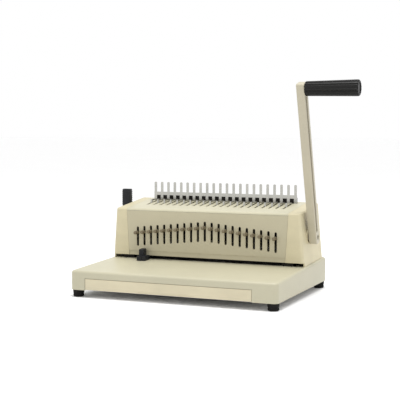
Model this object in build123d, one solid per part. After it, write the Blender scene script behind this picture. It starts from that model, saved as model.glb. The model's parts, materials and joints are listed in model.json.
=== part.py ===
from build123d import *
from math import cos, radians, sin
import os

# Comb binding machine: a desk punch and comb opener worked by one side handle.
#
# Machine frame while modelling (mm): X to the right, Y to the back, Z up, with the
# middle of the base's front edge at X = Y = 0 and the desk at Z = 0.
# Every piece is moved by ORIGIN_SHIFT when it is written, so that the finished
# part stands on Z = 0 with its bounding box centred on X = Y = 0.

# ---------------------------------------------------------------- driving sizes
HOLES = 21                      # holes punched along the long edge of a sheet
PITCH = 14.2875                 # 9/16 inch comb pitch
MID = (HOLES + 1) / 2           # number of the middle hole

BASE_W = 404.0
BASE_D = 300.0
BASE_Z0 = 13.5                  # underside of the base
DECK_FRONT_Z = 49.0
DECK_REAR_Z = 59.8
BASE_CORNER_R = 10.0
BASE_EDGE_R = 5.0
WALL = 3.0

FOOT_R = 10.5
FOOT_X = 190.5
FOOT_YS = (12.5, 285.0)

HEAD_Y0 = 162.5                 # front face of the head
HEAD_Z0 = 62.0                  # underside of the head
HEAD_TOP_Z = 153.7              # front top edge
HEAD_RISE = 12.7 / 109.0        # slope of the top, rise per run
HEAD_HALF_TOP = 190.6
HEAD_HALF_BOT = 197.3
HEAD_DEPTH_TOP = 120.0
HEAD_DEPTH_BOT = 125.0
SHELL = 2.5
SEAM = 0.3
SKIRT_Y = 168.5                 # the sides reach down to the deck behind here
LIP_H = 9.0                     # recessed strip along the panel's lower edge
LIP_D = 1.1

PANEL_HALF_TOP = 167.0
PANEL_HALF_BOT = 162.0
PANEL_TOP_Z = 149.5
SLOT_W = 5.0
SLOT_L = 38.5
SLOT_END_Z = 98.9               # middle height of the first and last slots
SLOT_STEP = 1.45                # rise of each slot towards the middle one

DRAWER_X0 = -170.0
DRAWER_X1 = 155.0
DRAWER_Z0 = 14.6
DRAWER_Z1 = 35.0
DRAWER_D = 206.0

DIE_TOP_Z = 55.2
DIE_T = 5.0
THROAT = 6.0
GUIDE_T = 6.0
DIE_Y0 = 169.0
DIE_Y1 = 207.0
PUNCH_Y = 183.0
PUNCH_W = 8.0
PUNCH_T = 3.0

FRAME_X = 172.3                 # inner face of the side frames
FRAME_T = 3.0
FRAME_TOP_Z = 148.0
FRAME_Y0 = 169.0
FRAME_Y1 = 264.0

SHAFT_Y = 203.0
SHAFT_Z = 108.0
SHAFT_R = 6.0
CRANK_R = 18.0                  # press stroke equals this radius over 60 degrees
CRANK_UP = 30.0                 # crank angle above the horizontal at rest
CRANK_PIN_R = 3.0

BAR_Y0 = 171.0
BAR_Y1 = 179.0
BAR_Z0 = 96.0
BAR_Z1 = 128.0
POST_X = 166.5
POST_Y = 175.0
POST_R = 4.0

PIN_ABOVE = 7.7                 # pull pin above the middle of its slot
PIN_HEAD_R = 3.3
PIN_SHANK_R = 1.6
PIN_HEAD_L = 12.5

ARM_X0 = 197.0
ARM_X1 = 212.5
ARM_D = 20.0
ARM_T = 3.0
ARM_UP = 296.0                  # arm above the shaft
ARM_DOWN = 13.0                 # arm below the shaft
ARM_LEAN = 16.9
GRIP_UP = 285.0
GRIP_X1 = 309.5
GRIP_R0 = 13.2
GRIP_R1 = 14.6
SLEEVE_R = 9.0
FINGER_R = 31.0
FINGER_BACK = 17.5

COMB_Y = 259.0
COMB_T = 2.0
TINE_TOP_Z = 201.2
TINE_W = 5.0
TINE_L = 20.0
WINDOW_W = 8.5
WINDOW_H = 10.0
COMB_HALF = 153.0

HOOK_Z0 = 148.3
HOOK_T = 2.0
HOOK_Y0 = 224.0
HOOK_Y1 = 250.0
HOOK_TIP_Y = 256.0
HOOK_SLOT = (204.5, 257.0)
HOOK_TRAVEL = 18.6

LEVER_Y = 236.0
LEVER_Z = 138.0
KNOB_X0 = -213.0
KNOB_X1 = -194.5
KNOB_Z0 = 150.0
KNOB_Z1 = 187.0
KNOB_D = 12.0

GUIDE_X0 = -132.0
GUIDE_X1 = -122.3
GUIDE_SLOT = (-174.5, -70.0)

CLEAR = 0.05                    # radial running clearance

ORIGIN_SHIFT = (-(KNOB_X0 + GRIP_X1) / 2, -BASE_D / 2, 0.0)


# ---------------------------------------------------------------- helpers
def box(x0, x1, y0, y1, z0, z1):
    """Box between two corners."""
    size = Box(abs(x1 - x0), abs(y1 - y0), abs(z1 - z0))
    return Pos((x0 + x1) / 2, (y0 + y1) / 2, (z0 + z1) / 2) * size


def cyl_x(x0, x1, y, z, r):
    """Cylinder along X."""
    return Pos((x0 + x1) / 2, y, z) * Rot(0, 90, 0) * Cylinder(r, abs(x1 - x0))


def cyl_y(y0, y1, x, z, r):
    """Cylinder along Y."""
    return Pos(x, (y0 + y1) / 2, z) * Rot(90, 0, 0) * Cylinder(r, abs(y1 - y0))


def cyl_z(z0, z1, x, y, r):
    """Cylinder along Z."""
    return Pos(x, y, (z0 + z1) / 2) * Cylinder(r, abs(z1 - z0))


def side_plate(outline, x0, x1):
    """Plate with a (y, z) outline between two X values."""
    face = make_face(Polyline(*[(x0, y, z) for y, z in outline], close=True))
    return extrude(face, amount=x1 - x0, dir=(1, 0, 0))


def front_plate(outline, y0, y1):
    """Plate with an (x, z) outline between two Y values."""
    face = make_face(Polyline(*[(x, y0, z) for x, z in outline], close=True))
    return extrude(face, amount=y1 - y0, dir=(0, 1, 0))


def deck_z(y):
    """Height of the sloping base deck."""
    return DECK_FRONT_Z + (DECK_REAR_Z - DECK_FRONT_Z) * y / BASE_D


def top_z(y):
    """Height of the sloping top of the head."""
    return HEAD_TOP_Z + (y - HEAD_Y0) * HEAD_RISE


def hole_x(i):
    """X of hole i, counted from 1 at the left."""
    return (i - MID) * PITCH


def slot_z(i):
    """Middle height of slot i: the row rises to the middle in an arch."""
    return SLOT_END_Z + SLOT_STEP * (MID - 1 - abs(i - MID))


def pin_z(i):
    return slot_z(i) + PIN_ABOVE


def leaned(shape, degrees=ARM_LEAN):
    """Turn a shape made upright over the shaft axis forward by an angle."""
    turn = Pos(0, SHAFT_Y, SHAFT_Z) * Rot(degrees, 0, 0) * Pos(0, -SHAFT_Y, -SHAFT_Z)
    return turn * shape


def save(name, *shapes):
    """Write one node, with all its solids, in the finished frame."""
    moved = [Pos(*ORIGIN_SHIFT) * s for s in shapes]
    solids = [s for shape in moved for s in shape.solids()]
    body = solids[0] if len(solids) == 1 else Compound(children=solids)
    export_step(body, f"parts/{name}.step")


def upright(shape):
    """Edges of a shape that run along Z."""
    return shape.edges().filter_by(Axis.Z)


os.makedirs("parts", exist_ok=True)
NUMBERS = range(1, HOLES + 1)
BOLTS = [(sx * 161.0, by) for sx in (-1, 1) for by in (186.0, 201.0)]

# ---------------------------------------------------------------- base shell
half = BASE_W / 2
profile = [
    (0, BASE_Z0),
    (BASE_D, BASE_Z0),
    (BASE_D, DECK_REAR_Z),
    (0, DECK_FRONT_Z),
]
shell = side_plate(profile, -half, half)
shell = fillet(upright(shell), BASE_CORNER_R)
shell = fillet(shell.faces().sort_by(Axis.Z)[-1].edges(), BASE_EDGE_R)
inner_profile = [
    (WALL, BASE_Z0 - 1),
    (BASE_D - WALL, BASE_Z0 - 1),
    (BASE_D - WALL, DECK_REAR_Z - WALL - 0.1),
    (WALL, DECK_FRONT_Z - WALL - 0.1),
]
hollow = side_plate(inner_profile, -half + WALL, half - WALL)
hollow = fillet(upright(hollow), BASE_CORNER_R - WALL)
shell -= hollow
for sx in (-1, 1):
    for fy in FOOT_YS:
        boss = cyl_z(15.0, deck_z(fy) - 2, sx * FOOT_X, fy, 7.0)
        shell += boss - cyl_z(14, 30, sx * FOOT_X, fy, 2.0 + CLEAR)
    shell += box(sx * 157, sx * 184, DIE_Y0 - 2.4, DIE_Y1 + 4, 38.0, deck_z(DIE_Y0) - 1)
shell -= box(-178.3, 178.3, DIE_Y0 - 0.2, DIE_Y1 + 0.2, DIE_TOP_Z - DIE_T, 70)
shell -= box(-156.5, 156.5, DIE_Y0 - 0.2, DIE_Y1 + 0.2, 36, 60)
shell -= box(DRAWER_X0 - 0.6, DRAWER_X1 + 0.6, -1, WALL + 1, BASE_Z0 - 1, DRAWER_Z1 + 0.6)
shell -= box(*GUIDE_SLOT, 160.0, 164.4, 45, 62)
for bx, by in BOLTS:
    shell -= cyl_z(40, 60, bx, by, 2.5 + CLEAR)
save("base_shell", shell)

# ---------------------------------------------------------------- bottom plate
plate = box(-half + WALL + 0.3, half - WALL - 0.3, 5.0, BASE_D - WALL - 0.3, BASE_Z0, 15.0)
plate = fillet(upright(plate), BASE_CORNER_R - WALL)
for sx in (-1, 1):
    for fy in FOOT_YS:
        plate -= cyl_z(10, 20, sx * FOOT_X, fy, 2.0 + CLEAR)
save("base_bottom_plate", plate)

feet = []
foot_screws = []
for sx in (-1, 1):
    for fy in FOOT_YS:
        foot = Pos(sx * FOOT_X, fy, BASE_Z0 / 2) * Cone(FOOT_R - 0.5, FOOT_R, BASE_Z0)
        foot = fillet(foot.edges().sort_by(Axis.Z)[0], 1.5)
        foot -= cyl_z(-1, 5.0, sx * FOOT_X, fy, 4.2)
        foot -= cyl_z(0, 20, sx * FOOT_X, fy, 2.0 + CLEAR)
        feet.append(foot)
        screw = cyl_z(5.0, 28.0, sx * FOOT_X, fy, 2.0)
        screw += cyl_z(2.2, 5.0, sx * FOOT_X, fy, 3.8)
        screw -= box(sx * FOOT_X - 2.8, sx * FOOT_X + 2.8, fy - 0.5, fy + 0.5, 2.0, 3.4)
        foot_screws.append(screw)
save("rubber_feet", *feet)
save("foot_screws", *foot_screws)

# ---------------------------------------------------------------- chip drawer
tray = box(DRAWER_X0 + 5, DRAWER_X1 - 5, 3.0, DRAWER_D, 15.4, 33.0)
tray -= box(DRAWER_X0 + 7, DRAWER_X1 - 7, 5.0, DRAWER_D - 2, 17.4, 40.0)
face = box(DRAWER_X0, DRAWER_X1, 0.0, 3.2, DRAWER_Z0, DRAWER_Z1)
face = fillet(face.faces().sort_by(Axis.Y)[0].edges(), 0.8)
face -= box(-60, 45, -1.0, 1.2, DRAWER_Z0 - 1, DRAWER_Z0 + 3.0)
save("chip_drawer", tray + face)

rails = []
for x_in, turn in ((DRAWER_X0 + 4.6, -1), (DRAWER_X1 - 4.6, 1)):
    rail = box(x_in, x_in + turn * 2.0, 12.0, 215.0, 15.0, 33.6)
    rail += box(x_in - turn * 4.0, x_in + turn * 2.0, 12.0, 215.0, 33.6, 35.0)
    rails.append(rail)
save("drawer_rails", *rails)

# ---------------------------------------------------------------- die set
GUIDE_Z0 = DIE_TOP_Z + THROAT
GUIDE_Z1 = GUIDE_Z0 + GUIDE_T


def drilled(plate, z0, z1):
    """Plate with the four clearance holes of the die bolts."""
    for bx, by in BOLTS:
        plate -= cyl_z(z0, z1, bx, by, 2.5 + CLEAR)
    return plate


def punch_holes(plate, z0, z1, gap):
    """Plate with the row of rectangular punch holes."""
    for i in NUMBERS:
        w = PUNCH_W / 2 + gap
        t = PUNCH_T / 2 + gap
        plate -= box(hole_x(i) - w, hole_x(i) + w, PUNCH_Y - t, PUNCH_Y + t, z0, z1)
    return plate


die = box(-178, 178, DIE_Y0, DIE_Y1, DIE_TOP_Z - DIE_T, DIE_TOP_Z)
die = punch_holes(drilled(die, 40, 60), 40, 60, 0.04)
save("die_plate", die)

spacer = box(-172, 172, DIE_Y0, DIE_Y1, DIE_TOP_Z, GUIDE_Z0)
spacer -= box(-154, 154, DIE_Y0 - 1, 192.0, 50, 65)
save("throat_spacer", drilled(spacer, 50, 65))

guide = box(-172, 172, DIE_Y0, DIE_Y1, GUIDE_Z0, GUIDE_Z1)
guide = punch_holes(drilled(guide, 55, 70), 55, 70, 0.04)
for sx in (-1, 1):
    guide -= cyl_z(64.0, 70, sx * POST_X, POST_Y, POST_R)
save("punch_guide", guide)

bolts = []
for bx, by in BOLTS:
    bolt = cyl_z(40.5, GUIDE_Z1, bx, by, 2.5)
    bolt += cyl_z(GUIDE_Z1, GUIDE_Z1 + 3.5, bx, by, 4.0)
    bolts.append(bolt)
save("die_bolts", *bolts)

posts = []
for sx in (-1, 1):
    posts.append(cyl_z(64.0, 146.0, sx * POST_X, POST_Y, POST_R))
save("guide_posts", *posts)

springs = []
for sx in (-1, 1):
    tube = cyl_z(GUIDE_Z1, BAR_Z0, sx * POST_X, POST_Y, 5.6)
    springs.append(tube - cyl_z(60, 110, sx * POST_X, POST_Y, 4.3))
save("return_springs", *springs)

# ---------------------------------------------------------------- side frames
RAIL_Y0 = COMB_Y + COMB_T
RAIL_T = 2.5
for side, sx in (("left", -1), ("right", 1)):
    outline = [
        (FRAME_Y0, DIE_TOP_Z),
        (FRAME_Y1, DIE_TOP_Z + 6.0),
        (FRAME_Y1, FRAME_TOP_Z),
        (FRAME_Y0 + 4, FRAME_TOP_Z),
        (FRAME_Y0, FRAME_TOP_Z - 10),
    ]
    outline[1:1] = [(DIE_Y1, DIE_TOP_Z), (DIE_Y1 + 0.5, DIE_TOP_Z + 6.0)]
    x0, x1 = sorted((sx * FRAME_X, sx * (FRAME_X + FRAME_T)))
    frame = side_plate(outline, x0, x1)
    frame -= cyl_x(x0 - 1, x1 + 1, SHAFT_Y, SHAFT_Z, 9.0)
    frame -= cyl_x(x0 - 1, x1 + 1, 190.0, 140.0, 2.5 + CLEAR)
    frame -= cyl_x(x0 - 1, x1 + 1, 250.0, 75.0, 2.5 + CLEAR)
    save(f"side_frame_{side}", frame)

rods = []
for ry, rz in ((190.0, 140.0), (250.0, 75.0)):
    rod = cyl_x(-FRAME_X, FRAME_X, ry, rz, 4.0)
    for sx in (-1, 1):
        rod += cyl_x(sx * (FRAME_X - 1), sx * (FRAME_X + FRAME_T), ry, rz, 2.5)
        rod += cyl_x(sx * (FRAME_X + FRAME_T), sx * (FRAME_X + FRAME_T + 1.6), ry, rz, 3.6)
    rods.append(rod)
save("tie_rods", *rods)

bushings = []
for sx in (-1, 1):
    bush = cyl_x(sx * FRAME_X, sx * (FRAME_X + FRAME_T), SHAFT_Y, SHAFT_Z, 9.0)
    bush += cyl_x(sx * (FRAME_X - 2), sx * FRAME_X, SHAFT_Y, SHAFT_Z, 11.0)
    bush -= cyl_x(sx * 160, sx * 185, SHAFT_Y, SHAFT_Z, SHAFT_R + CLEAR)
    bushings.append(bush)
save("shaft_bushings", *bushings)

# ---------------------------------------------------------------- head covers


def head_block(inset):
    """Tapered block of the head, its sides moved in by an inset."""
    high = 175.0
    taper_x = (HEAD_HALF_BOT - HEAD_HALF_TOP) / (HEAD_TOP_Z - HEAD_Z0)
    taper_y = (HEAD_DEPTH_BOT - HEAD_DEPTH_TOP) / (HEAD_TOP_Z - HEAD_Z0)
    sections = []
    for z in (HEAD_Z0 - 10.0, high):
        hx = HEAD_HALF_BOT - taper_x * (z - HEAD_Z0) - inset
        y0 = HEAD_Y0 + inset
        y1 = HEAD_Y0 + HEAD_DEPTH_BOT - taper_y * (z - HEAD_Z0) - inset
        rect = RectangleRounded(2 * hx, y1 - y0, 6.0 - inset)
        sections.append(Pos(0, (y0 + y1) / 2, z) * rect)
    block = loft(sections)
    lid = [
        (140, top_z(140) - inset),
        (300, top_z(300) - inset),
        (300, 200),
        (140, 200),
    ]
    block -= side_plate(lid, -220, 220)
    return block


outer = head_block(0.0)
outer = fillet(outer.faces().sort_by(Axis.Z)[-1].edges(), 4.5)
head = outer - head_block(SHELL)
head -= box(-220, 220, 140, SKIRT_Y, 40, HEAD_Z0)
under = [
    (140, 30),
    (300, 30),
    (300, deck_z(300) + SEAM),
    (140, deck_z(140) + SEAM),
]
head -= side_plate(under, -220, 220)


def between(shift, y0, y1):
    """Prism between the two tilted seams beside the front panel."""
    slope = (PANEL_HALF_TOP - PANEL_HALF_BOT) / (151.0 - 64.0)
    low = PANEL_HALF_BOT - slope * (64.0 - 40.0) + shift
    high = PANEL_HALF_TOP + slope * (180.0 - 151.0) + shift
    outline = [(-low, 40), (low, 40), (high, 180), (-high, 180)]
    return front_plate(outline, y0, y1)


middle = head & between(-SEAM / 2, 150, 300)
ends = head - between(SEAM / 2, 150, 300)

top = middle & box(-200, 200, 150, 300, PANEL_TOP_Z + SEAM / 2, 200)
for i in NUMBERS:
    x = hole_x(i)
    top -= box(x - 2.2, x + 2.2, *HOOK_SLOT, 140, 180)
top -= box(-COMB_HALF - 0.2, COMB_HALF + 0.2, COMB_Y - 0.2, RAIL_Y0 + RAIL_T + 0.2, 140, 180)
save("top_deck", top)

low = middle & box(-200, 200, 150, 300, 40, PANEL_TOP_Z - SEAM / 2)
panel = low & box(-200, 200, 150, HEAD_Y0 + SHELL, 40, 200)
panel -= box(-200, 200, 150, HEAD_Y0 + LIP_D, 40, HEAD_Z0 + LIP_H)
panel += box(-158, 158, HEAD_Y0 + LIP_D, HEAD_Y0 + 5.5, HEAD_Z0, HEAD_Z0 + 2.0)
for i in NUMBERS:
    z = slot_z(i)
    window = SlotOverall(SLOT_L, SLOT_W, rotation=90)
    cutter = extrude(Plane.XZ * window, amount=6, both=True)
    panel -= Pos(hole_x(i), HEAD_Y0, z) * cutter
save("front_panel", panel)

rear = low & box(-200, 200, 225, 300, 40, 200)
for k in range(9):
    x = (k - 4) * 30.0
    rear -= box(x - 10, x + 10, 260, 290, 84.0, 87.0)
    rear -= box(x - 10, x + 10, 260, 290, 94.0, 97.0)
save("rear_cover", rear)

CAP_SCREWS = [(265.0, 105.0)]
for side, sx in (("left", -1), ("right", 1)):
    half_space = box(0, sx * 250, 100, 320, 40, 200)
    cap = ends & half_space
    lug = box(sx * 176.0, sx * 192.0, 261.0, 269.0, 100.0, 110.0)
    cap += lug - cyl_x(sx * 170, sx * 200, 265.0, 105.0, 2.0)
    cap -= cyl_x(sx * 170, sx * 200, 265.0, 105.0, 2.0 + CLEAR)
    cap -= cyl_x(sx * 193.2, sx * 200, 265.0, 105.0, 4.2)
    if sx > 0:
        boss = cyl_x(189.0, 195.6, SHAFT_Y, SHAFT_Z, 14.0)
        cap += boss
        cap -= cyl_x(180, 200, SHAFT_Y, SHAFT_Z, 11.0)
    else:
        boss = cyl_x(-187.0, -193.0, LEVER_Y, LEVER_Z, 7.0)
        cap += boss
        cap -= cyl_x(-180, -200, LEVER_Y, LEVER_Z, 3.0 + CLEAR)
    save(f"end_cap_{side}", cap)

cap_screws = []
for sx in (-1, 1):
    screw = cyl_x(sx * 177.0, sx * 193.4, 265.0, 105.0, 2.0)
    head_part = cyl_x(sx * 193.2, sx * 194.4, 265.0, 105.0, 3.9)
    head_part -= box(sx * 194.0, sx * 196, 262.0, 268.0, 104.5, 105.5)
    cap_screws.append(screw + head_part)
save("cap_screws", *cap_screws)

# ---------------------------------------------------------------- comb plate
plate = box(-COMB_HALF, COMB_HALF, COMB_Y, COMB_Y + COMB_T, 140.0, TINE_TOP_Z - TINE_L)
for k in range(HOLES + 1):
    x = (k - HOLES / 2) * PITCH
    tine = box(x - TINE_W / 2, x + TINE_W / 2, COMB_Y, COMB_Y + COMB_T, 180.0, TINE_TOP_Z)
    tine = chamfer(tine.faces().sort_by(Axis.Z)[-1].edges().filter_by(Axis.Y), 1.2)
    plate += tine
surface = top_z(COMB_Y) - 0.4
for i in NUMBERS:
    x = hole_x(i)
    w = WINDOW_W / 2
    plate -= box(x - w, x + w, COMB_Y - 1, COMB_Y + COMB_T + 1, surface, surface + WINDOW_H)
PLATE_SCREW_XS = (-135.0, -45.0, 45.0, 135.0)
for x in PLATE_SCREW_XS:
    plate -= cyl_y(250, 270, x, 144.0, 1.5 + CLEAR)
save("comb_plate", plate)

rail = box(-FRAME_X, FRAME_X, RAIL_Y0, RAIL_Y0 + 5.0, 140.0, 147.8)
rail += box(-COMB_HALF, COMB_HALF, RAIL_Y0, RAIL_Y0 + RAIL_T, 147.0, surface + WINDOW_H + 1.5)
for x in PLATE_SCREW_XS:
    rail -= cyl_y(250, 270, x, 144.0, 1.5 + CLEAR)
save("comb_rail", rail)

screws = []
for x in PLATE_SCREW_XS:
    screw = cyl_y(COMB_Y, RAIL_Y0 + 4.5, x, 144.0, 1.5)
    screws.append(screw + cyl_y(COMB_Y - 1.8, COMB_Y, x, 144.0, 2.9))
save("comb_plate_screws", *screws)

# ---------------------------------------------------------------- drive shaft
DOG_X0 = 177.6
DOG_X1 = 182.6

crank_y = SHAFT_Y - CRANK_R * cos(radians(CRANK_UP))
crank_z = SHAFT_Z + CRANK_R * sin(radians(CRANK_UP))
cranks = []
for sx in (-1, 1):
    x0, x1 = sorted((sx * 156.0, sx * 161.0))
    web = cyl_x(x0, x1, SHAFT_Y, SHAFT_Z, 10.5)
    web += cyl_x(x0, x1, crank_y, crank_z, 5.5)
    bridge = box(x0, x1, SHAFT_Y - CRANK_R, SHAFT_Y, SHAFT_Z - 5.5, SHAFT_Z + 5.5)
    web += leaned(bridge, -CRANK_UP)
    web -= cyl_x(x0 - 1, x1 + 1, SHAFT_Y, SHAFT_Z, SHAFT_R)
    web += cyl_x(sx * 148.6, sx * 157.0, crank_y, crank_z, CRANK_PIN_R)
    cranks.append(web)
save("press_cranks", *cranks)

# Lost-motion dog: a tooth on the shaft in a wide notch of the handle sleeve.
TOOTH = 30.0
LOST = 35.0
SLACK = 2.0


def wedge(x0, x1, start, sweep, r):
    """Sector about the shaft, angles in degrees from straight up towards the front."""
    points = [(SHAFT_Y, SHAFT_Z)]
    steps = 8
    for k in range(steps + 1):
        a = radians(start + sweep * k / steps)
        points.append((SHAFT_Y - r * sin(a), SHAFT_Z + r * cos(a)))
    return side_plate(points, x0, x1)


collar = cyl_x(DOG_X0, DOG_X1, SHAFT_Y, SHAFT_Z, 12.0)
ring = cyl_x(DOG_X1 - 0.5, DOG_X1 + 5.0, SHAFT_Y, SHAFT_Z, 12.0)
ring -= cyl_x(DOG_X1 - 1, DOG_X1 + 6, SHAFT_Y, SHAFT_Z, SHAFT_R + 0.2)
collar += ring & wedge(DOG_X1 - 0.5, DOG_X1 + 5.0, 0.0, TOOTH, 20.0)
shaft = cyl_x(-180.0, 196.0, SHAFT_Y, SHAFT_Z, SHAFT_R) + collar
shaft += cyl_x(-180.0, -177.0, SHAFT_Y, SHAFT_Z, 9.0)
save("drive_shaft", shaft)

# ---------------------------------------------------------------- handle
sleeve = cyl_x(DOG_X1 + 0.3, 188.2, SHAFT_Y, SHAFT_Z, 12.0)
sleeve -= wedge(DOG_X1, DOG_X1 + 5.3, -SLACK, TOOTH + LOST + 2 * SLACK, 20.0)
finger = box(183.4, 188.2, SHAFT_Y - 4.0, SHAFT_Y + 4.0, SHAFT_Z - FINGER_R, SHAFT_Z - 8)
finger += cyl_x(183.4, 188.2, SHAFT_Y, SHAFT_Z - FINGER_R, 4.0)
finger += cyl_x(177.8, 184.0, SHAFT_Y, SHAFT_Z - FINGER_R, 2.5)
sleeve += leaned(finger, FINGER_BACK)
sleeve += cyl_x(188.0, ARM_X0 + ARM_T, SHAFT_Y, SHAFT_Z, SLEEVE_R)
sleeve -= cyl_x(180, ARM_X0 + 20, SHAFT_Y, SHAFT_Z, SHAFT_R + CLEAR)
save("handle_sleeve", sleeve)

bush = cyl_x(189.0, 195.4, SHAFT_Y, SHAFT_Z, 11.0)
bush -= cyl_x(180, 200, SHAFT_Y, SHAFT_Z, SLEEVE_R + CLEAR)
save("handle_bushing", bush)

arm = box(ARM_X0, ARM_X1, SHAFT_Y - ARM_D / 2, SHAFT_Y + ARM_D / 2,
          SHAFT_Z - ARM_DOWN, SHAFT_Z + ARM_UP)
round_end = arm.faces().sort_by(Axis.Z)[0].edges().filter_by(Axis.X)
arm = fillet(round_end, 8.0)
top_end = arm.faces().sort_by(Axis.Z)[-1].edges().filter_by(Axis.X)
arm = fillet(top_end, 4.0)
front_edges = arm.faces().sort_by(Axis.Y)[0].edges().filter_by(Axis.Z)
arm = fillet(front_edges, 1.8)
channel = box(ARM_X0 + ARM_T, ARM_X1 + 5, SHAFT_Y - ARM_D / 2 + ARM_T,
              SHAFT_Y + 1.0, SHAFT_Z + 12, SHAFT_Z + GRIP_UP - 13)
arm -= channel
arm -= cyl_x(ARM_X0 + ARM_T, ARM_X1 + 1, SHAFT_Y, SHAFT_Z, 5.0)
arm -= cyl_x(ARM_X0 - 1, ARM_X0 + 4.0, SHAFT_Y, SHAFT_Z + GRIP_UP, 7.0)
arm -= cyl_x(ARM_X0 - 1, ARM_X0 + ARM_T + 0.1, SHAFT_Y, SHAFT_Z, SLEEVE_R)
arm -= cyl_x(ARM_X0 - 1, ARM_X1 + 1, SHAFT_Y, SHAFT_Z + GRIP_UP, 4.0 + CLEAR)
save("handle_arm", leaned(arm))

grip_len = GRIP_X1 - ARM_X1
grip = Pos(ARM_X1 + grip_len / 2, SHAFT_Y, SHAFT_Z + GRIP_UP) * Rot(0, 90, 0)
grip = grip * Cone(GRIP_R0, GRIP_R1, grip_len)
grip = fillet(grip.edges().sort_by(Axis.X)[-1], 3.0)
grip = fillet(grip.edges().sort_by(Axis.X)[0], 1.0)
flutes = 12
for k in range(flutes):
    angle = radians(360.0 * k / flutes)
    fy = SHAFT_Y + (GRIP_R1 + 1.6) * cos(angle)
    fz = SHAFT_Z + GRIP_UP + (GRIP_R1 + 1.6) * sin(angle)
    near = (ARM_X1 + 6, SHAFT_Y + (GRIP_R0 + 1.7) * cos(angle),
            SHAFT_Z + GRIP_UP + (GRIP_R0 + 1.7) * sin(angle))
    run = Vector(GRIP_X1 - 8, fy, fz) - Vector(*near)
    groove = Plane(origin=near, z_dir=run) * Cylinder(
        2.2, run.length, align=(Align.CENTER, Align.CENTER, Align.MIN))
    grip -= groove
grip -= cyl_x(ARM_X1 - 1, GRIP_X1 - 12, SHAFT_Y, SHAFT_Z + GRIP_UP, 4.0 + 0.2)
save("handle_grip", leaned(grip))

bolt_head = cyl_x(ARM_X0 + 0.4, ARM_X0 + 4.0, SHAFT_Y, SHAFT_Z + GRIP_UP, 6.5)
bolt_head -= box(ARM_X0, ARM_X0 + 1.6, SHAFT_Y - 7, SHAFT_Y + 7,
                 SHAFT_Z + GRIP_UP - 0.7, SHAFT_Z + GRIP_UP + 0.7)
bolt = cyl_x(ARM_X0 + 3.0, GRIP_X1 - 14, SHAFT_Y, SHAFT_Z + GRIP_UP, 4.0) + bolt_head
save("grip_bolt", leaned(bolt))

# ---------------------------------------------------------------- press bar
bar = box(-161.0, 161.0, BAR_Y0, BAR_Y1, BAR_Z0, BAR_Z1)
ear = 13.0
bar -= box(-200, -148.0, 160, 200, BAR_Z0 + 27, 140)
bar -= box(200, 148.0, 160, 200, BAR_Z0 + 27, 140)
for sx in (-1, 1):
    block = box(sx * 161.5, sx * 171.5, POST_Y - 6.5, POST_Y + 6.5, BAR_Z0, BAR_Z0 + 16)
    bar += block
    bar += box(sx * 158.0, sx * 162.0, BAR_Y0, BAR_Y1, BAR_Z0, BAR_Z0 + 16)
    bar -= cyl_z(BAR_Z0 - 1, BAR_Z0 + 30, sx * POST_X, POST_Y, POST_R + CLEAR)
    gap = CRANK_PIN_R + 0.35
    for z0, z1 in ((crank_z - gap - 3.5, crank_z - gap), (crank_z + gap, crank_z + gap + 3.0)):
        bar += box(sx * 149.2, sx * 154.5, BAR_Y1 - 1, 191.5, z0, z1)
for i in NUMBERS:
    bar -= cyl_y(BAR_Y0 - 1, BAR_Y1 + 1, hole_x(i), pin_z(i), PIN_SHANK_R + CLEAR)
save("press_bar", bar)

punches = []
for i in NUMBERS:
    x = hole_x(i)
    low_z = GUIDE_Z0 + 0.8 + 0.4 * (MID - 1 - abs(i - MID))
    punch = box(x - PUNCH_W / 2, x + PUNCH_W / 2, PUNCH_Y - PUNCH_T / 2,
                PUNCH_Y + PUNCH_T / 2, low_z, BAR_Z1)
    punch -= cyl_y(PUNCH_Y - 4, PUNCH_Y + 0.8, x, pin_z(i), PIN_SHANK_R + CLEAR)
    punches.append(punch)
save("punches", *punches)

# ---------------------------------------------------------------- pull pins
for i in NUMBERS:
    x = hole_x(i)
    z = pin_z(i)
    knob = cyl_y(HEAD_Y0 - 1.0 - PIN_HEAD_L, HEAD_Y0 - 1.0, x, z, PIN_HEAD_R)
    knob = fillet(knob.edges().sort_by(Axis.Y)[0], 0.8)
    knob += cyl_y(HEAD_Y0 - 1.2, PUNCH_Y + 0.6, x, z, PIN_SHANK_R)
    save(f"pull_pin_{i:02d}", knob)

# ---------------------------------------------------------------- hook plate
plate = box(-160.0, 182.4, HOOK_Y0, HOOK_Y1, HOOK_Z0, HOOK_Z0 + HOOK_T)
for i in NUMBERS:
    x = hole_x(i)
    stem = box(x - 1.7, x + 1.7, HOOK_Y0, HOOK_Y0 + 3.5, HOOK_Z0 + 1, 168.0)
    stem += box(x - 1.7, x + 1.7, HOOK_Y0, HOOK_TIP_Y, 165.4, 168.0)
    plate += stem
LEG_X0 = 178.2
LEG_Y0 = 246.0                  # clear of the finger with the handle down and the hooks forward
LEG_Y1 = 256.5
leg = box(LEG_X0, 182.4, LEG_Y0, LEG_Y1, 66.0, HOOK_Z0 + HOOK_T)
leg += box(LEG_X0, 182.4, 202.0, LEG_Y1, 66.0, 73.5)
pin_y = SHAFT_Y + FINGER_R * sin(radians(FINGER_BACK))
leg += box(LEG_X0, 182.4, 202.0, pin_y - 2.85, 66.0, 86.0)
plate += leg
save("hook_plate", plate)

# ---------------------------------------------------------------- stop lever
knob = box(KNOB_X0, KNOB_X1, LEVER_Y - KNOB_D / 2, LEVER_Y + KNOB_D / 2, KNOB_Z0, KNOB_Z1)
knob = fillet(knob.edges(), 1.8)
lever = box(-199.5, -195.5, LEVER_Y - 6, LEVER_Y + 6, LEVER_Z, KNOB_Z0 + 2)
lever += cyl_x(-199.5, -193.8, LEVER_Y, LEVER_Z, 8.0)
lever += knob
lever -= cyl_x(-205, -190, LEVER_Y, LEVER_Z, 3.0)
save("stop_lever", lever)

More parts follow.
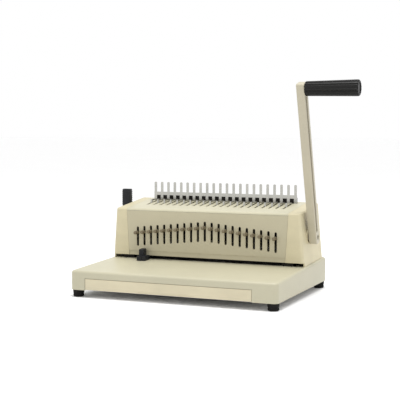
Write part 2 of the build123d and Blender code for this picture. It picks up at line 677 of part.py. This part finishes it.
spindle = cyl_x(-200.5, -180.0, LEVER_Y, LEVER_Z, 3.0)
spindle += cyl_x(-184.0, -180.0, LEVER_Y, LEVER_Z + 1.5, 6.0)
save("lever_spindle", spindle)

# ---------------------------------------------------------------- edge guide
GUIDE_Y0 = 135.0
GUIDE_Y1 = 158.0
GUIDE_STEP_Y = 145.0
GUIDE_TOP_Z = 75.5
tail_z = deck_z(166.0)
outline = [
    (GUIDE_Y0, deck_z(GUIDE_Y0) + 0.3),
    (166.0, tail_z + 0.3),
    (166.0, tail_z + 3.6),
    (GUIDE_Y1, tail_z + 3.6),
    (GUIDE_Y1, GUIDE_TOP_Z + 1.0),
    (GUIDE_STEP_Y, GUIDE_TOP_Z),
    (GUIDE_STEP_Y, deck_z(GUIDE_STEP_Y) + 9.0),
    (GUIDE_Y0, deck_z(GUIDE_Y0) + 9.0),
]
stop = side_plate(outline, GUIDE_X0, GUIDE_X1)
stop = fillet(stop.faces().sort_by(Axis.Z)[-1].edges(), 1.5)
wing = [
    (GUIDE_Y0 + 1, deck_z(GUIDE_Y0 + 1) + 0.3),
    (GUIDE_Y1 - 2, deck_z(GUIDE_Y1 - 2) + 0.3),
    (GUIDE_Y1 - 2, deck_z(GUIDE_Y1 - 2) + 9.0),
    (GUIDE_Y0 + 1, deck_z(GUIDE_Y0 + 1) + 9.0),
]
stop += side_plate(wing, GUIDE_X1 - 1, GUIDE_X1 + 7.7)
key_x = (GUIDE_X0 + GUIDE_X1) / 2
stop += box(key_x - 6, key_x + 6, 160.5, 163.9, deck_z(162) - 3.0, deck_z(162) + 2)
stop -= cyl_z(45, 58.0, key_x, 162.2, 1.25)
save("edge_guide", stop)

screw = cyl_z(deck_z(162) - 4.6, 57.9, key_x, 162.2, 1.25)
screw += cyl_z(deck_z(162) - 6.2, deck_z(162) - 4.2, key_x, 162.2, 4.0)
save("edge_guide_screw", screw)

print("origin shift", ORIGIN_SHIFT)
print("crank pin", crank_y, crank_z)
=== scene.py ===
import json
import math

import bpy
from mathutils import Matrix, Vector


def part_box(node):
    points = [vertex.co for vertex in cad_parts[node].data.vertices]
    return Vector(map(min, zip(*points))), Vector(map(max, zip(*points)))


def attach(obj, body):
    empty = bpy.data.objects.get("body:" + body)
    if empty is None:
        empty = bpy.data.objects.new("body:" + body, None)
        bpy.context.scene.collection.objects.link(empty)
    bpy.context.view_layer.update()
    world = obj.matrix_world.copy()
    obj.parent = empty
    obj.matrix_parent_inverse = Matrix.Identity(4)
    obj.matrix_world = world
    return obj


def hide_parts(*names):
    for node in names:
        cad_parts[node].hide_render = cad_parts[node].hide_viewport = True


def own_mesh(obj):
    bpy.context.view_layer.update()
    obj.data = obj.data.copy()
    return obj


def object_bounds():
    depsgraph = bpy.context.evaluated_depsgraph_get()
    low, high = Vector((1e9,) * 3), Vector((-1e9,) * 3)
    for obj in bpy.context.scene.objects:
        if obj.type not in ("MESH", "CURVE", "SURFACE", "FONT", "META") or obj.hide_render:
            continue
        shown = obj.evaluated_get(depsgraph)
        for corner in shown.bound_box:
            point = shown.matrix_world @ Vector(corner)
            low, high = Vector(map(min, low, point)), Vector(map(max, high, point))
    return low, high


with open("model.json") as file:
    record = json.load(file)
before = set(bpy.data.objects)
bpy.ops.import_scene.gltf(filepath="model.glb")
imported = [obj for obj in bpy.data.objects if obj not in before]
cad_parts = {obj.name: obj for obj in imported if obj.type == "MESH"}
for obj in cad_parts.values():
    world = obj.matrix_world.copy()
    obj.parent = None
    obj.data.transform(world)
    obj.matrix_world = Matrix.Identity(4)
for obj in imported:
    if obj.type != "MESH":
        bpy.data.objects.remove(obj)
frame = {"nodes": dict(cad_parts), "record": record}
cad_low, cad_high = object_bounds()
nodes = frame["nodes"]
MM = 0.001


# ------------------------------------------------------------------ shader kit
def srgb(r, g, b):
    """Linear colour of a paint swatch given as 0 to 255 values."""
    def lift(c):
        c = c / 255
        return c / 12.92 if c <= 0.04045 else ((c + 0.055) / 1.055) ** 2.4
    return (lift(r), lift(g), lift(b), 1.0)


class Wire:
    """A shader value: arithmetic on it adds Math nodes."""

    def __init__(self, finish, socket):
        self.finish = finish
        self.socket = socket

    def _math(self, operation, first, second):
        return self.finish.node("ShaderNodeMath", {"operation": operation}, {0: first, 1: second})

    def __add__(self, other):
        return self._math("ADD", self, other)

    __radd__ = __add__

    def __mul__(self, other):
        return self._math("MULTIPLY", self, other)

    __rmul__ = __mul__

    def __sub__(self, other):
        return self._math("SUBTRACT", self, other)

    def __rsub__(self, other):
        return self._math("SUBTRACT", other, self)

    def __gt__(self, other):
        return self._math("GREATER_THAN", self, other)


class Finish:
    """One material, built up from nodes around a Principled shader."""

    def __init__(self, name, roughness=0.5, metallic=0.0, **sockets):
        self.material = bpy.data.materials.new(name)
        self.material.use_nodes = True
        self.tree = self.material.node_tree
        self.shader = self.tree.nodes["Principled BSDF"]
        self.shader.inputs["Roughness"].default_value = roughness
        self.shader.inputs["Metallic"].default_value = metallic
        for key, value in sockets.items():
            self.shader.inputs[key.replace("_", " ")].default_value = value
        self.place = self.node("ShaderNodeTexCoord", output="Object")

    def node(self, kind, settings=None, inputs=None, output=0):
        """Any node: its settings first, then the values or wires of its sockets."""
        made = self.tree.nodes.new(kind)
        for key, value in (settings or {}).items():
            if key == "stops":
                ramp = made.color_ramp.elements
                for spot, (position, colour) in enumerate(value):
                    stop = ramp[spot] if spot < 2 else ramp.new(position)
                    stop.position = position
                    stop.color = colour
            else:
                setattr(made, key, value)
        for key, value in (inputs or {}).items():
            if isinstance(value, Wire):
                self.tree.links.new(value.socket, made.inputs[key])
            else:
                made.inputs[key].default_value = value
        return Wire(self, made.outputs[output])

    def feed(self, socket, wire):
        self.tree.links.new(wire.socket, self.shader.inputs[socket])

    def noise(self, size, detail=3.0, stretch=(1, 1, 1), roughness=0.5):
        """Noise from 0 to 1 whose blobs are about size metres across."""
        spot = self.node("ShaderNodeMapping", {}, {"Vector": self.place, "Scale": stretch})
        return self.node(
            "ShaderNodeTexNoise", {},
            {"Vector": spot, "Scale": 1 / size, "Detail": detail, "Roughness": roughness})

    def grain(self, size):
        """Small cells, as in spark-eroded moulded plastic."""
        return self.node("ShaderNodeTexVoronoi", {}, {"Vector": self.place, "Scale": 1 / size})

    def uprightness(self):
        """1 on faces that stand upright, 0 on faces that lie flat."""
        facing = self.node("ShaderNodeTexCoord", output="Normal")
        level = self.node("ShaderNodeSeparateXYZ", {}, {"Vector": facing}, output="Z")
        return 1 - level * level

    def ramp(self, wire, *stops):
        return self.node("ShaderNodeValToRGB", {"stops": stops}, {"Fac": wire})

    def mix(self, mask, first, second):
        """Colour mix of two colours or colour wires."""
        return self.node(
            "ShaderNodeMix", {"data_type": "RGBA"}, {0: mask, 6: first, 7: second}, output=2)

    def bump(self, height, distance):
        self.feed("Normal", self.node(
            "ShaderNodeBump", {}, {"Height": height, "Distance": distance, "Strength": 1.0}))


def shade(colour, factor):
    """The same colour, lighter or darker."""
    return tuple(min(1.0, c * factor) for c in colour[:3]) + (1.0,)


def painted(name, colour, roughness=0.42, painted_side_shade=0.0):
    """Sprayed enamel: orange peel, slow tone drift, dust specks and handling marks.

    The last argument is how far the upright faces go towards a darker tone than the flat ones:
    painted shade for the lesser light that falls on upright faces.
    """
    peel_size = 0.9 * MM
    peel_depth = 0.04 * MM
    paint = Finish(name, roughness=roughness, Coat_Roughness=0.35)
    drift = paint.noise(90 * MM, detail=2.0)
    cloud = paint.noise(9 * MM, detail=5.0, roughness=0.65)
    tone = paint.ramp(
        drift * 0.7 + cloud * 0.3, (0.35, shade(colour, 0.955)), (0.65, shade(colour, 1.03)))
    # painted shade: upright faces are darkened to stand in for the lesser light that reaches them
    if painted_side_shade:
        tone = paint.mix(paint.uprightness() * painted_side_shade, tone, shade(colour, 0.62))
    specks = paint.noise(0.7 * MM, detail=1.0) > 0.76
    paint.feed("Base Color", paint.mix(specks * 0.25, tone, shade(colour, 0.72)))
    marks = paint.noise(16 * MM, detail=6.0, stretch=(1, 2.5, 1), roughness=0.7)
    paint.feed("Roughness", marks * 0.22 + (roughness - 0.10))
    paint.feed("Coat Weight", marks * 0.2)
    paint.bump(paint.noise(peel_size, detail=1.5) + cloud * 0.15, peel_depth)
    return paint.material


def moulded(name, colour, roughness=0.5, cell=0.6 * MM, gleam=0.5):
    """Moulded plastic with an eroded grain of small cells and faint flow clouds."""
    grain_depth = 0.035 * MM
    plastic = Finish(name, roughness=roughness, Specular_IOR_Level=gleam)
    flow = plastic.noise(45 * MM, detail=3.0, stretch=(1, 1, 2))
    fine = plastic.noise(2.5 * MM, detail=4.0)
    tone = plastic.ramp(
        flow * 0.75 + fine * 0.25, (0.34, shade(colour, 0.94)), (0.66, shade(colour, 1.04)))
    plastic.feed("Base Color", tone)
    plastic.feed("Roughness", fine * 0.18 + (roughness - 0.09))
    plastic.bump(plastic.grain(cell) + fine * 0.4, grain_depth)
    return plastic.material


def steel(name, colour, roughness=0.3, along=(1, 30, 30), tarnish=0.8):
    """Bare or plated steel with a rolling or grinding grain along one axis."""
    scratch_depth = 0.02 * MM
    metal = Finish(name, roughness=roughness, metallic=1.0)
    grain = metal.noise(12 * MM, detail=4.0, stretch=along)
    cloud = metal.noise(20 * MM, detail=4.0, roughness=0.6)
    tone = metal.ramp(
        cloud * 0.6 + grain * 0.4, (0.3, shade(colour, tarnish)), (0.7, shade(colour, 1.06)))
    metal.feed("Base Color", tone)
    metal.feed("Roughness", grain * 0.22 + cloud * 0.12 + (roughness - 0.15))
    metal.bump(grain, scratch_depth)
    return metal.material


def rubbery(name, colour):
    """Black rubber: dull, with a fine bloom and dusty hollows."""
    skin_depth = 0.05 * MM
    rubber = Finish(name, roughness=0.8, Specular_IOR_Level=0.15)
    bloom = rubber.noise(6 * MM, detail=5.0, roughness=0.7)
    rubber.feed("Base Color", rubber.ramp(bloom, (0.4, colour), (0.75, shade(colour, 2.2))))
    rubber.feed("Roughness", bloom * 0.2 + 0.68)
    rubber.bump(rubber.noise(0.5 * MM, detail=2.0) + bloom * 0.3, skin_depth)
    return rubber.material


CREAM = srgb(186, 181, 156)
finishes = {
    "cream": painted("cream_enamel", CREAM),
    "cream_plastic": moulded("cream_end_cap", srgb(193, 184, 153)),
    "panel_paint": painted("greige_panel_enamel", srgb(177, 170, 144), roughness=0.48),
    "drawer_plastic": moulded("drawer_front_plastic", srgb(192, 183, 156), cell=0.5 * MM),
    "black_plastic": moulded("black_lever_plastic", srgb(31, 32, 35), roughness=0.46, gleam=0.22),
    "grip_plastic": moulded("black_grip_plastic", srgb(20, 20, 19), roughness=0.36, gleam=0.2),
    "rubber": rubbery("foot_rubber", srgb(20, 19, 18)),
    "arm_paint": painted("arm_enamel", srgb(175, 168, 147), roughness=0.4),
    "plated": steel("zinc_plate", srgb(188, 187, 181), roughness=0.26),
    "dark_steel": steel("black_oxide_steel", srgb(46, 44, 42), roughness=0.5, tarnish=0.6),
    "tool_steel": steel("ground_tool_steel", srgb(150, 148, 143), along=(30, 30, 1)),
    "pin_steel": steel("dull_nickel_pin", srgb(128, 118, 98), roughness=0.45, along=(1, 1, 1)),
    "bronze": steel("sintered_bronze", srgb(176, 138, 86), roughness=0.42, along=(1, 1, 1)),
}


# ------------------------------------------------------------------ CAD nodes
CAD_EDGE_ANGLE = math.radians(32)     # sharper than this stays a crisp edge
CAD_WELD = 0.002 * MM


def soften(thing):
    """Smooth shading across the facets of a curved face, with real edges kept crisp."""
    thing.data.polygons.foreach_set("use_smooth", [True] * len(thing.data.polygons))
    weld = thing.modifiers.new("weld", "WELD")
    weld.merge_threshold = CAD_WELD
    split = thing.modifiers.new("edges", "EDGE_SPLIT")
    split.split_angle = CAD_EDGE_ANGLE


slots = {part["node"]: part["material_slot"] for part in frame["record"]["subparts"]}
# the base's upright faces carry painted shade, darker than its flat deck
own_finishes = {"base_shell": painted("base_enamel", CREAM, painted_side_shade=0.40)}
for name, thing in nodes.items():
    thing.data.materials.clear()
    thing.data.materials.append(own_finishes.get(name, finishes[slots[name]]))
    soften(thing)


# ------------------------------------------------------------------ modelling kit
PIECE_EDGE_ANGLE = math.radians(35)
TO_TOP = ((1, 0, 0), (0, 1, 0), (0, 0, 1))        # local Z along +Z
TO_BACK = ((1, 0, 0), (0, 0, 1), (0, -1, 0))      # local Z along +Y
TO_RIGHT = ((0, 0, 1), (0, 1, 0), (-1, 0, 0))     # local Z along +X


def select_only(*things):
    """Select these objects and nothing else; the first one becomes the active object."""
    if bpy.context.object and bpy.context.object.mode != "OBJECT":
        bpy.ops.object.mode_set(mode="OBJECT")
    bpy.ops.object.select_all(action="DESELECT")
    for thing in things:
        thing.select_set(True)
    if things:
        bpy.context.view_layer.objects.active = things[0]


def apply_place():
    bpy.ops.object.transform_apply(location=True, rotation=True, scale=True)


def face_outwards():
    """In edit mode, turn all faces of a closed shape outwards and leave edit mode."""
    bpy.ops.mesh.select_all(action="SELECT")
    bpy.ops.mesh.normals_make_consistent(inside=False)
    bpy.ops.object.mode_set(mode="OBJECT")


def placed(piece, name, body, slot):
    """Finish a piece: named, at the origin, smooth, on its body and in its material."""
    piece.name = name
    select_only(piece)
    apply_place()
    bpy.ops.object.shade_smooth_by_angle(angle=PIECE_EDGE_ANGLE)
    piece.data.materials.clear()
    piece.data.materials.append(finishes[slot])
    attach(piece, body)
    return piece


def copied(piece, shift):
    """A copy of a piece, with its own mesh, moved by a shift."""
    select_only(piece)
    bpy.ops.object.duplicate(linked=False)
    bpy.ops.transform.translate(value=shift)
    return bpy.context.object


def joined(*things):
    """Several shapes made one object, the first one."""
    select_only(*things)
    bpy.ops.object.join()
    return things[0]


def extruded(start, profile, along, centre):
    """In edit mode, extrude a disc along its axis and resize it at each step.

    start is the disc's own (distance, radius), profile the ones that follow it.
    """
    bpy.ops.mesh.select_all(action="SELECT")
    distance, radius = start
    for next_distance, next_radius in profile:
        step = along * (next_distance - distance)
        bpy.ops.mesh.extrude_region_move(TRANSFORM_OT_translate={"value": step})
        if next_radius != radius:
            bpy.ops.transform.resize(
                value=(next_radius / radius,) * 3,
                center_override=centre + along * next_distance)
        distance, radius = next_distance, next_radius


def disc(axis_turn, centre, start, sides):
    """Active object: a flat disc across an axis, at a (distance, radius) along it."""
    distance, radius = start
    turn = Matrix(axis_turn)
    along = turn @ Vector((0, 0, 1))
    select_only()
    bpy.ops.mesh.primitive_circle_add(
        vertices=sides, radius=radius, fill_type="NGON",
        location=centre + along * distance, rotation=turn.to_euler())
    return bpy.context.object, along


def turned(axis_turn, centre, profile, sides=24):
    """Turned piece: a disc extruded and resized step by step along its own axis.

    profile is a list of (distance along the axis, radius), from one end to the other.
    """
    centre = Vector(centre)
    piece, along = disc(axis_turn, centre, profile[0], sides)
    bpy.ops.object.mode_set(mode="EDIT")
    extruded(profile[0], profile[1:], along, centre)
    face_outwards()
    return piece


def block(low, high, rounding, segments=3):
    """A box between two corners with rounded edges."""
    select_only()
    bpy.ops.mesh.primitive_cube_add(
        size=1.0, location=[(a + b) / 2 for a, b in zip(low, high)])
    piece = bpy.context.object
    piece.scale = [b - a for a, b in zip(low, high)]
    apply_place()
    bpy.ops.object.mode_set(mode="EDIT")
    bpy.ops.mesh.select_all(action="SELECT")
    bpy.ops.mesh.bevel(offset=rounding, segments=segments, affect="EDGES")
    bpy.ops.object.mode_set(mode="OBJECT")
    return piece


# ------------------------------------------------------------------ pull pins
PIN_COUNT = 21
PIN_SHANK_R = 1.6 * MM
PIN_HEAD_END = 12.5 * MM
PIN_GROOVES = (3.2 * MM, 5.6 * MM, 8.0 * MM)
PIN_GROOVE_SLOPE = 0.35 * MM
PIN_GROOVE_WIDE = 1.3 * MM
PIN_GROOVE_FLOOR = 0.84               # share of the head's radius


def pin_profile(head, long):
    """Rounded head with three finger grooves, on a plain shank with a chamfered end."""
    profile = [(0.0, head * 0.72), (0.5 * MM, head * 0.93), (1.2 * MM, head)]
    for groove in PIN_GROOVES:
        floor_r = head * PIN_GROOVE_FLOOR
        profile += [
            (groove, head), (groove + PIN_GROOVE_SLOPE, floor_r),
            (groove + PIN_GROOVE_WIDE - PIN_GROOVE_SLOPE, floor_r),
            (groove + PIN_GROOVE_WIDE, head)]
    return profile + [
        (PIN_HEAD_END - 0.4 * MM, head), (PIN_HEAD_END, head * 0.9),
        (PIN_HEAD_END, PIN_SHANK_R), (long - 0.5 * MM, PIN_SHANK_R), (long, PIN_SHANK_R * 0.7)]


def pin_front(node):
    """The middle of a pull pin's front end."""
    low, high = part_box(node)
    return Vector(((low[0] + high[0]) / 2, low[1], (low[2] + high[2]) / 2))


pin_nodes = [f"pull_pin_{number:02d}" for number in range(1, PIN_COUNT + 1)]
pin_low, pin_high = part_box(pin_nodes[0])
first_front = pin_front(pin_nodes[0])
first_pin = turned(
    TO_BACK, first_front,
    pin_profile(head=(pin_high[0] - pin_low[0]) / 2, long=pin_high[1] - pin_low[1]))
pins = [first_pin] + [copied(first_pin, pin_front(node) - first_front) for node in pin_nodes[1:]]
for pin, node in zip(pins, pin_nodes):
    placed(pin, f"turned_{node}", node, "pin_steel")
    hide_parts(node)


# ------------------------------------------------------------------ handle grip
FLUTES = 14
FLUTE_DEPTH = 1.1 * MM
POINTS_PER_FLUTE = 6
FLUTE_FORM = ((0, 1.0), (1, 0.62), (5, 0.62))     # point of the flute, share of its depth
GRIP_SLIMMER = 1.4 * MM                           # the start's radius against the end's


def fluted(centre, profile):
    """Bar along +X with rounded flutes: a lobed disc extruded and resized step by step."""
    start, radius = profile[0]
    centre = Vector(centre)
    bar, along = disc(TO_RIGHT, centre, profile[0], FLUTES * POINTS_PER_FLUTE)
    apply_place()
    for place, share in FLUTE_FORM:
        bpy.ops.object.mode_set(mode="EDIT")
        bpy.ops.mesh.select_mode(type="VERT")
        bpy.ops.mesh.select_all(action="DESELECT")
        bpy.ops.object.mode_set(mode="OBJECT")
        for point in bar.data.vertices:
            point.select = point.index % POINTS_PER_FLUTE == place
        bpy.ops.object.mode_set(mode="EDIT")
        bpy.ops.transform.resize(
            value=(1 - FLUTE_DEPTH * share / radius,) * 3, center_override=centre + along * start)
    extruded(profile[0], profile[1:], along, centre)
    face_outwards()
    return bar


grip_low, grip_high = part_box("handle_grip")
grip_axis = (grip_low[0], (grip_low[1] + grip_high[1]) / 2, (grip_low[2] + grip_high[2]) / 2)
grip_long = grip_high[0] - grip_low[0]
grip_end = (grip_high[2] - grip_low[2]) / 2
grip_start = grip_end - GRIP_SLIMMER
grip = fluted(grip_axis, [
    (0.0, grip_start * 0.93), (0.6 * MM, grip_start * 0.985), (1.6 * MM, grip_start),
    (5.0 * MM, grip_start), (grip_long - 7.0 * MM, grip_end), (grip_long - 2.4 * MM, grip_end),
    (grip_long - 0.9 * MM, grip_end * 0.965), (grip_long, grip_end * 0.88),
    (grip_long, grip_end * 0.72), (grip_long - 1.2 * MM, grip_end * 0.68)])
placed(grip, "fluted_grip", "handle", "grip_plastic")
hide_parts("handle_grip")


# ------------------------------------------------------------------ stop lever
KNOB_WIDE = 18.5 * MM
KNOB_HALF_DEEP = 6.0 * MM
KNOB_TALL = 37.0 * MM
RIB_COUNT = 7
RIB_FIRST = 5.2 * MM                  # above the knob's underside
RIB_PITCH = 4.1 * MM
RIB_THICK = 1.9 * MM
RIB_PROUD = 0.5 * MM
NECK_HALF_DEEP = 5.8 * MM
NECK_INTO_KNOB = 4.0 * MM
HUB_R = 8.0 * MM
HUB_THICK = 5.7 * MM
HUB_ROUND = 0.5 * MM


def lever_knob(left, back_middle, top):
    """Finger knob: a rounded core with ribs standing proud all round."""
    bottom = top - KNOB_TALL
    front = back_middle - KNOB_HALF_DEEP
    back = back_middle + KNOB_HALF_DEEP
    right = left + KNOB_WIDE
    core = block(
        (left + RIB_PROUD, front + RIB_PROUD, bottom),
        (right - 0.4 * MM, back - RIB_PROUD, top), 1.6 * MM)
    first = bottom + RIB_FIRST
    rib = block((left, front, first), (right, back, first + RIB_THICK), RIB_PROUD, 2)
    more_ribs = [copied(rib, (0, 0, step * RIB_PITCH)) for step in range(1, RIB_COUNT)]
    return [core, rib] + more_ribs


lever_low, lever_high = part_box("stop_lever")
lever_middle = (lever_low[1] + lever_high[1]) / 2
hub_left = lever_high[0] - HUB_THICK
hub_middle_z = lever_low[2] + HUB_R
hub = turned(
    TO_RIGHT, (hub_left, lever_middle, hub_middle_z),
    [(0.0, 6.6 * MM), (HUB_ROUND, 7.6 * MM), (1.2 * MM, HUB_R), (HUB_THICK - HUB_ROUND, HUB_R),
     (HUB_THICK, 7.6 * MM)], sides=40)
neck = block(
    (hub_left + 0.2 * MM, lever_middle - NECK_HALF_DEEP, hub_middle_z - 2.0 * MM),
    (hub_left + 4.0 * MM, lever_middle + NECK_HALF_DEEP,
     lever_high[2] - KNOB_TALL + NECK_INTO_KNOB), 0.8 * MM, 2)
lever = joined(hub, neck, *lever_knob(lever_low[0], lever_middle, lever_high[2]))
placed(lever, "ribbed_stop_lever", "stop_lever", "black_plastic")
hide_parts("stop_lever")


# ------------------------------------------------------------------ feet
FOOT_R = 10.5 * MM
FOOT_PROFILE = [                      # millimetres up from the floor, and radius
    (5.0, 4.2), (0.0, 4.2), (0.0, 8.2), (0.3, 9.0), (1.0, 9.7), (2.0, 10.0), (4.6, 10.1),
    (4.9, 9.5), (6.1, 9.5), (6.4, 10.2), (12.6, 10.5), (13.5, 10.4)]

feet_low, feet_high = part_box("rubber_feet")
foot = turned(
    TO_TOP, (feet_low[0] + FOOT_R, feet_low[1] + FOOT_R, feet_low[2]),
    [(z * MM, r * MM) for z, r in FOOT_PROFILE], sides=48)
across = feet_high[0] - feet_low[0] - 2 * FOOT_R
deep = feet_high[1] - feet_low[1] - 2 * FOOT_R
more_feet = [copied(foot, shift) for shift in ((0, deep, 0), (across, 0, 0), (across, deep, 0))]
feet = placed(joined(foot, *more_feet), "turned_feet", "machine", "rubber")
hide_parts("rubber_feet")


# ------------------------------------------------------------------ return springs
SPRING_TURNS = 9
SPRING_WIRE_R = 0.65 * MM
SPRING_OUTER_R = 5.6 * MM

spring_low, spring_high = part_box("return_springs")
spring_y = (spring_low[1] + spring_high[1]) / 2
spring_x = {
    "left": spring_low[0] + SPRING_OUTER_R,
    "right": spring_high[0] - SPRING_OUTER_R,
}
height = spring_high[2] - spring_low[2]


def coiled():
    """Coil spring standing on its own middle: a wire's section wound up by Screw."""
    select_only()
    bpy.ops.mesh.primitive_circle_add(
        vertices=10, radius=SPRING_WIRE_R,
        location=(SPRING_OUTER_R - SPRING_WIRE_R, 0, SPRING_WIRE_R), rotation=(math.pi / 2, 0, 0))
    coil = bpy.context.object
    apply_place()
    screw = coil.modifiers.new("winding", "SCREW")
    screw.axis = "Z"
    screw.angle = 2 * math.pi
    screw.iterations = SPRING_TURNS
    screw.screw_offset = (height - 2 * SPRING_WIRE_R) / SPRING_TURNS
    screw.steps = 20
    screw.render_steps = 20
    bpy.ops.object.modifier_apply(modifier=screw.name)
    bpy.ops.object.mode_set(mode="EDIT")
    bpy.ops.mesh.select_all(action="SELECT")
    bpy.ops.mesh.remove_doubles(threshold=0.01 * MM)
    face_outwards()
    return coil


left_coil = coiled()
coils = {"left": left_coil, "right": copied(left_coil, (0, 0, 0))}
for side, coil in coils.items():
    coil.location = (spring_x[side], spring_y, spring_low[2])
    placed(coil, f"return_coil_{side}", "machine", "plated")
    if side == "left":
        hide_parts("return_springs")
    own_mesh(coil)


# ------------------------------------------------------------------ stage
FLOOR_SIDE = 60.0
FLOOR_GAP = 0.2 * MM                  # the feet stand just clear of the floor
PAPER = (1.0, 1.0, 1.0, 1.0)
WORLD_WHITE = (1.0, 1.0, 1.0, 1.0)

bpy.context.scene.view_settings.view_transform = "Standard"
select_only()
bpy.ops.mesh.primitive_plane_add(size=FLOOR_SIDE, location=(0, 0, cad_low[2] - FLOOR_GAP))
floor = bpy.context.object
floor.name = "floor"
paper = Finish("pale_floor", roughness=0.9)
paper.feed("Base Color", paper.ramp(
    paper.noise(0.4, detail=2.0), (0.3, shade(PAPER, 0.985)), (0.7, shade(PAPER, 0.995))))
floor.data.materials.append(paper.material)

world = bpy.data.worlds.new("studio")
bpy.context.scene.world = world
world.use_nodes = True
world.node_tree.nodes["Background"].inputs["Color"].default_value = WORLD_WHITE
world.node_tree.nodes["Background"].inputs["Strength"].default_value = 1.0


def softbox(name, spot, size, power):
    """A square studio light aimed at the middle of the machine."""
    data = bpy.data.lights.new(name, "AREA")
    data.size = size
    data.energy = power
    lamp = bpy.data.objects.new(name, data)
    lamp.location = spot
    lamp.rotation_euler = (MACHINE_MIDDLE - Vector(spot)).to_track_quat("-Z", "Y").to_euler()
    bpy.context.scene.collection.objects.link(lamp)


MACHINE_MIDDLE = Vector((0.0, 0.0, 0.12))
softbox("overhead", spot=(0.2, -0.2, 1.9), size=0.9, power=22)
softbox("key_left", spot=(-1.1, -1.8, 1.5), size=0.7, power=3)
softbox("fill_right", spot=(1.9, -0.6, 0.9), size=1.2, power=0.5)

CAMERA_YAW = math.radians(23.142)     # turned to the left of straight back
CAMERA_TILT = math.radians(4.080)     # downwards
CAMERA_RIGHT = 0.7348                 # from the middle of the base
CAMERA_BACK = 1.5796                  # in front of the base's front edge
CAMERA_HEIGHT = 0.3091
CAMERA_SENSOR = 36.0
CAMERA_LENS = 89.39

camera_data = bpy.data.cameras.new("camera")
camera = bpy.data.objects.new("camera", camera_data)
bpy.context.scene.collection.objects.link(camera)
bpy.context.scene.camera = camera
base_low, base_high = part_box("base_shell")
camera.location = (
    (base_low[0] + base_high[0]) / 2 + CAMERA_RIGHT, base_low[1] - CAMERA_BACK, CAMERA_HEIGHT)
look = Vector((
    -math.sin(CAMERA_YAW) * math.cos(CAMERA_TILT),
    math.cos(CAMERA_YAW) * math.cos(CAMERA_TILT),
    -math.sin(CAMERA_TILT)))
camera.rotation_euler = look.to_track_quat("-Z", "Y").to_euler()
camera_data.sensor_width = CAMERA_SENSOR
camera_data.lens = CAMERA_LENS
